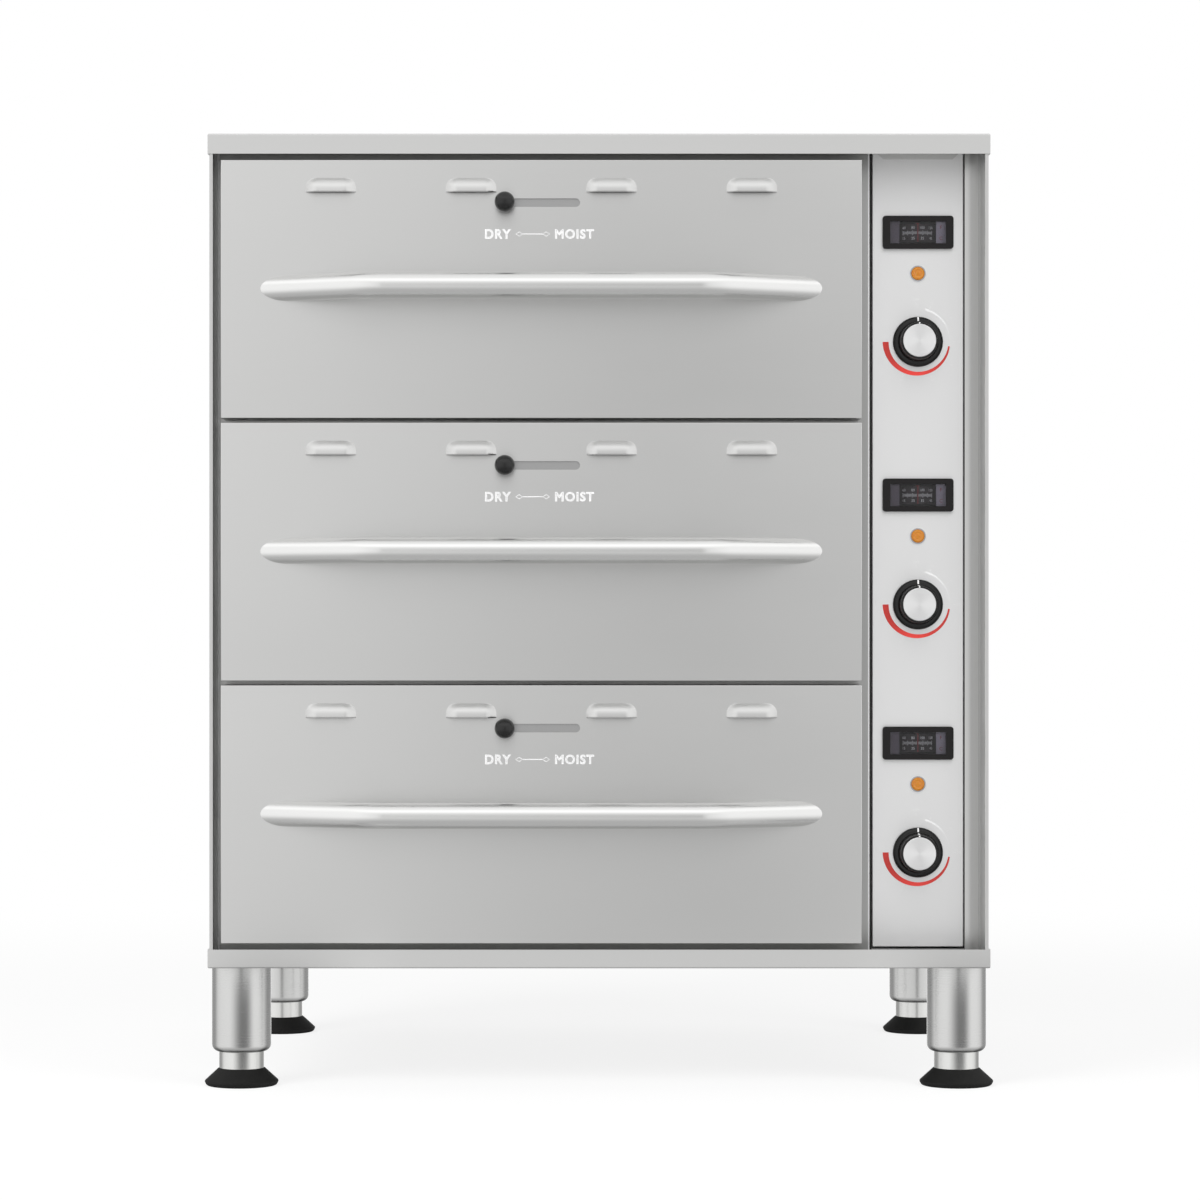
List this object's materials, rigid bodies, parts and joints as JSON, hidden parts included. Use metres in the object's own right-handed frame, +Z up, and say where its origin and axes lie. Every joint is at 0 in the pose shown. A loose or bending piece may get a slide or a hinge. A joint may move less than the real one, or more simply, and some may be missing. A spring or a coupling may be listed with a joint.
{
  "type": "warming drawer cabinet",
  "caption": "Upright shop warmer: a stack of heated drawers with louvred fronts, humidity shutters and bar handles, beside a control bay of thermometers, lamps and dials, on adjustable legs.",
  "frame": {"origin": "on the floor, under the middle of the whole warmer", "axes": "+Z up, the drawers open towards -Y, +X to the right seen from the front, where the controls are"},
  "size_m": [0.7634, 0.6312, 0.915],
  "materials": {
    "brushed_stainless": "satin, horizontal brushing",
    "frame_stainless": "satin",
    "polished_stainless": "polished",
    "inner_steel": "mill finish",
    "zinc_plated_steel": "zinc plated",
    "mineral_wool": "matt, loose fibres",
    "element_steel": "heat-darkened",
    "black_phenolic": "moulded, slight gloss",
    "black_abs": "moulded, fine texture",
    "window_glass": "clear",
    "dial_black": "printed, matt",
    "pointer_red": "matt paint",
    "amber_lens": "moulded, translucent",
    "spun_aluminium": "turned, fine rings",
    "rubber_black": "matt"
  },
  "bodies": {
    "root": {"top_cover": "brushed_stainless", "base_tray": "brushed_stainless", "side_panel_left": "brushed_stainless", "side_panel_right": "brushed_stainless", "back_panel": "brushed_stainless", "back_screws": "zinc_plated_steel", "cord_gland": "black_abs", "front_frame": "frame_stainless", "control_divider": "inner_steel", "cavity_liners": "inner_steel", "insulation": "mineral_wool", "heating_elements": "element_steel", "slide_channels": "zinc_plated_steel", "control_panel": "brushed_stainless", "panel_retainer": "brushed_stainless", "thermometer_cases": "black_abs", "thermometer_glasses": "window_glass", "thermometer_dials": "dial_black", "indicator_rings": "polished_stainless", "indicator_lenses": "amber_lens", "thermostats": "black_phenolic", "leg_tubes": "brushed_stainless", "leg_nuts": "zinc_plated_steel"},
    "drawer_lower": {"drawer_front_lower": "brushed_stainless", "handle_lower": "polished_stainless", "drawer_carriage_lower": "inner_steel", "food_pan_lower": "polished_stainless"},
    "slide_middles_lower": {"slide_middles_lower": "zinc_plated_steel"},
    "humidity_slide_lower": {"humidity_slide_lower": "inner_steel"},
    "knob_lower": {"control_knob_lower": "black_phenolic", "knob_cap_lower": "spun_aluminium"},
    "pointer_lower": {"thermometer_pointer_lower": "pointer_red"},
    "drawer_middle": {"drawer_front_middle": "brushed_stainless", "handle_middle": "polished_stainless", "drawer_carriage_middle": "inner_steel", "food_pan_middle": "polished_stainless"},
    "slide_middles_middle": {"slide_middles_middle": "zinc_plated_steel"},
    "humidity_slide_middle": {"humidity_slide_middle": "inner_steel"},
    "knob_middle": {"control_knob_middle": "black_phenolic", "knob_cap_middle": "spun_aluminium"},
    "pointer_middle": {"thermometer_pointer_middle": "pointer_red"},
    "drawer_upper": {"drawer_front_upper": "brushed_stainless", "handle_upper": "polished_stainless", "drawer_carriage_upper": "inner_steel", "food_pan_upper": "polished_stainless"},
    "slide_middles_upper": {"slide_middles_upper": "zinc_plated_steel"},
    "humidity_slide_upper": {"humidity_slide_upper": "inner_steel"},
    "knob_upper": {"control_knob_upper": "black_phenolic", "knob_cap_upper": "spun_aluminium"},
    "pointer_upper": {"thermometer_pointer_upper": "pointer_red"},
    "foot_front_left": {"leg_sleeve_front_left": "polished_stainless", "leg_foot_front_left": "rubber_black"},
    "foot_front_right": {"leg_sleeve_front_right": "polished_stainless", "leg_foot_front_right": "rubber_black"},
    "foot_rear_left": {"leg_sleeve_rear_left": "polished_stainless", "leg_foot_rear_left": "rubber_black"},
    "foot_rear_right": {"leg_sleeve_rear_right": "polished_stainless", "leg_foot_rear_right": "rubber_black"}
  },
  "joints": [
    {"name": "drawer_lower_pull", "type": "slide", "parent": "root", "child": "drawer_lower", "axis": [0, -1, 0], "range_m": [0, 0.42]},
    {"name": "slide_middles_lower_pull", "type": "slide", "parent": "root", "child": "slide_middles_lower", "axis": [0, -1, 0], "range_m": [0, 0.21]},
    {"name": "humidity_lower_slide", "type": "slide", "parent": "drawer_lower", "child": "humidity_slide_lower", "axis": [1, 0, 0], "range_m": [0, 0.0669]},
    {"name": "knob_lower_turn", "type": "hinge", "parent": "root", "child": "knob_lower", "pos_m": [0.30915, -0.21638, 0.2242], "axis": [0, 1, 0], "range_deg": [0, 270]},
    {"name": "pointer_lower_turn", "type": "hinge", "parent": "root", "child": "pointer_lower", "pos_m": [0.30915, -0.19228, 0.3302], "axis": [0, 0, 1], "range_deg": [-42, 42]},
    {"name": "drawer_middle_pull", "type": "slide", "parent": "root", "child": "drawer_middle", "axis": [0, -1, 0], "range_m": [0, 0.42]},
    {"name": "slide_middles_middle_pull", "type": "slide", "parent": "root", "child": "slide_middles_middle", "axis": [0, -1, 0], "range_m": [0, 0.21]},
    {"name": "humidity_middle_slide", "type": "slide", "parent": "drawer_middle", "child": "humidity_slide_middle", "axis": [1, 0, 0], "range_m": [0, 0.0669]},
    {"name": "knob_middle_turn", "type": "hinge", "parent": "root", "child": "knob_middle", "pos_m": [0.30915, -0.21638, 0.4646], "axis": [0, 1, 0], "range_deg": [0, 270]},
    {"name": "pointer_middle_turn", "type": "hinge", "parent": "root", "child": "pointer_middle", "pos_m": [0.30915, -0.19228, 0.5706], "axis": [0, 0, 1], "range_deg": [-42, 42]},
    {"name": "drawer_upper_pull", "type": "slide", "parent": "root", "child": "drawer_upper", "axis": [0, -1, 0], "range_m": [0, 0.42]},
    {"name": "slide_middles_upper_pull", "type": "slide", "parent": "root", "child": "slide_middles_upper", "axis": [0, -1, 0], "range_m": [0, 0.21]},
    {"name": "humidity_upper_slide", "type": "slide", "parent": "drawer_upper", "child": "humidity_slide_upper", "axis": [1, 0, 0], "range_m": [0, 0.0669]},
    {"name": "knob_upper_turn", "type": "hinge", "parent": "root", "child": "knob_upper", "pos_m": [0.30915, -0.21638, 0.7192], "axis": [0, 1, 0], "range_deg": [0, 270]},
    {"name": "pointer_upper_turn", "type": "hinge", "parent": "root", "child": "pointer_upper", "pos_m": [0.30915, -0.19228, 0.8252], "axis": [0, 0, 1], "range_deg": [-42, 42]},
    {"name": "foot_front_left_adjust", "type": "slide", "parent": "root", "child": "foot_front_left", "axis": [0, 0, -1], "range_m": [0, 0.025]},
    {"name": "foot_front_right_adjust", "type": "slide", "parent": "root", "child": "foot_front_right", "axis": [0, 0, -1], "range_m": [0, 0.025]},
    {"name": "foot_rear_left_adjust", "type": "slide", "parent": "root", "child": "foot_rear_left", "axis": [0, 0, -1], "range_m": [0, 0.025]},
    {"name": "foot_rear_right_adjust", "type": "slide", "parent": "root", "child": "foot_rear_right", "axis": [0, 0, -1], "range_m": [0, 0.025]}
  ],
  "couplings": [
    {"joint": "slide_middles_lower_pull", "follows": "drawer_lower_pull", "ratio": 0.5},
    {"joint": "slide_middles_middle_pull", "follows": "drawer_middle_pull", "ratio": 0.5},
    {"joint": "slide_middles_upper_pull", "follows": "drawer_upper_pull", "ratio": 0.5}
  ]
}
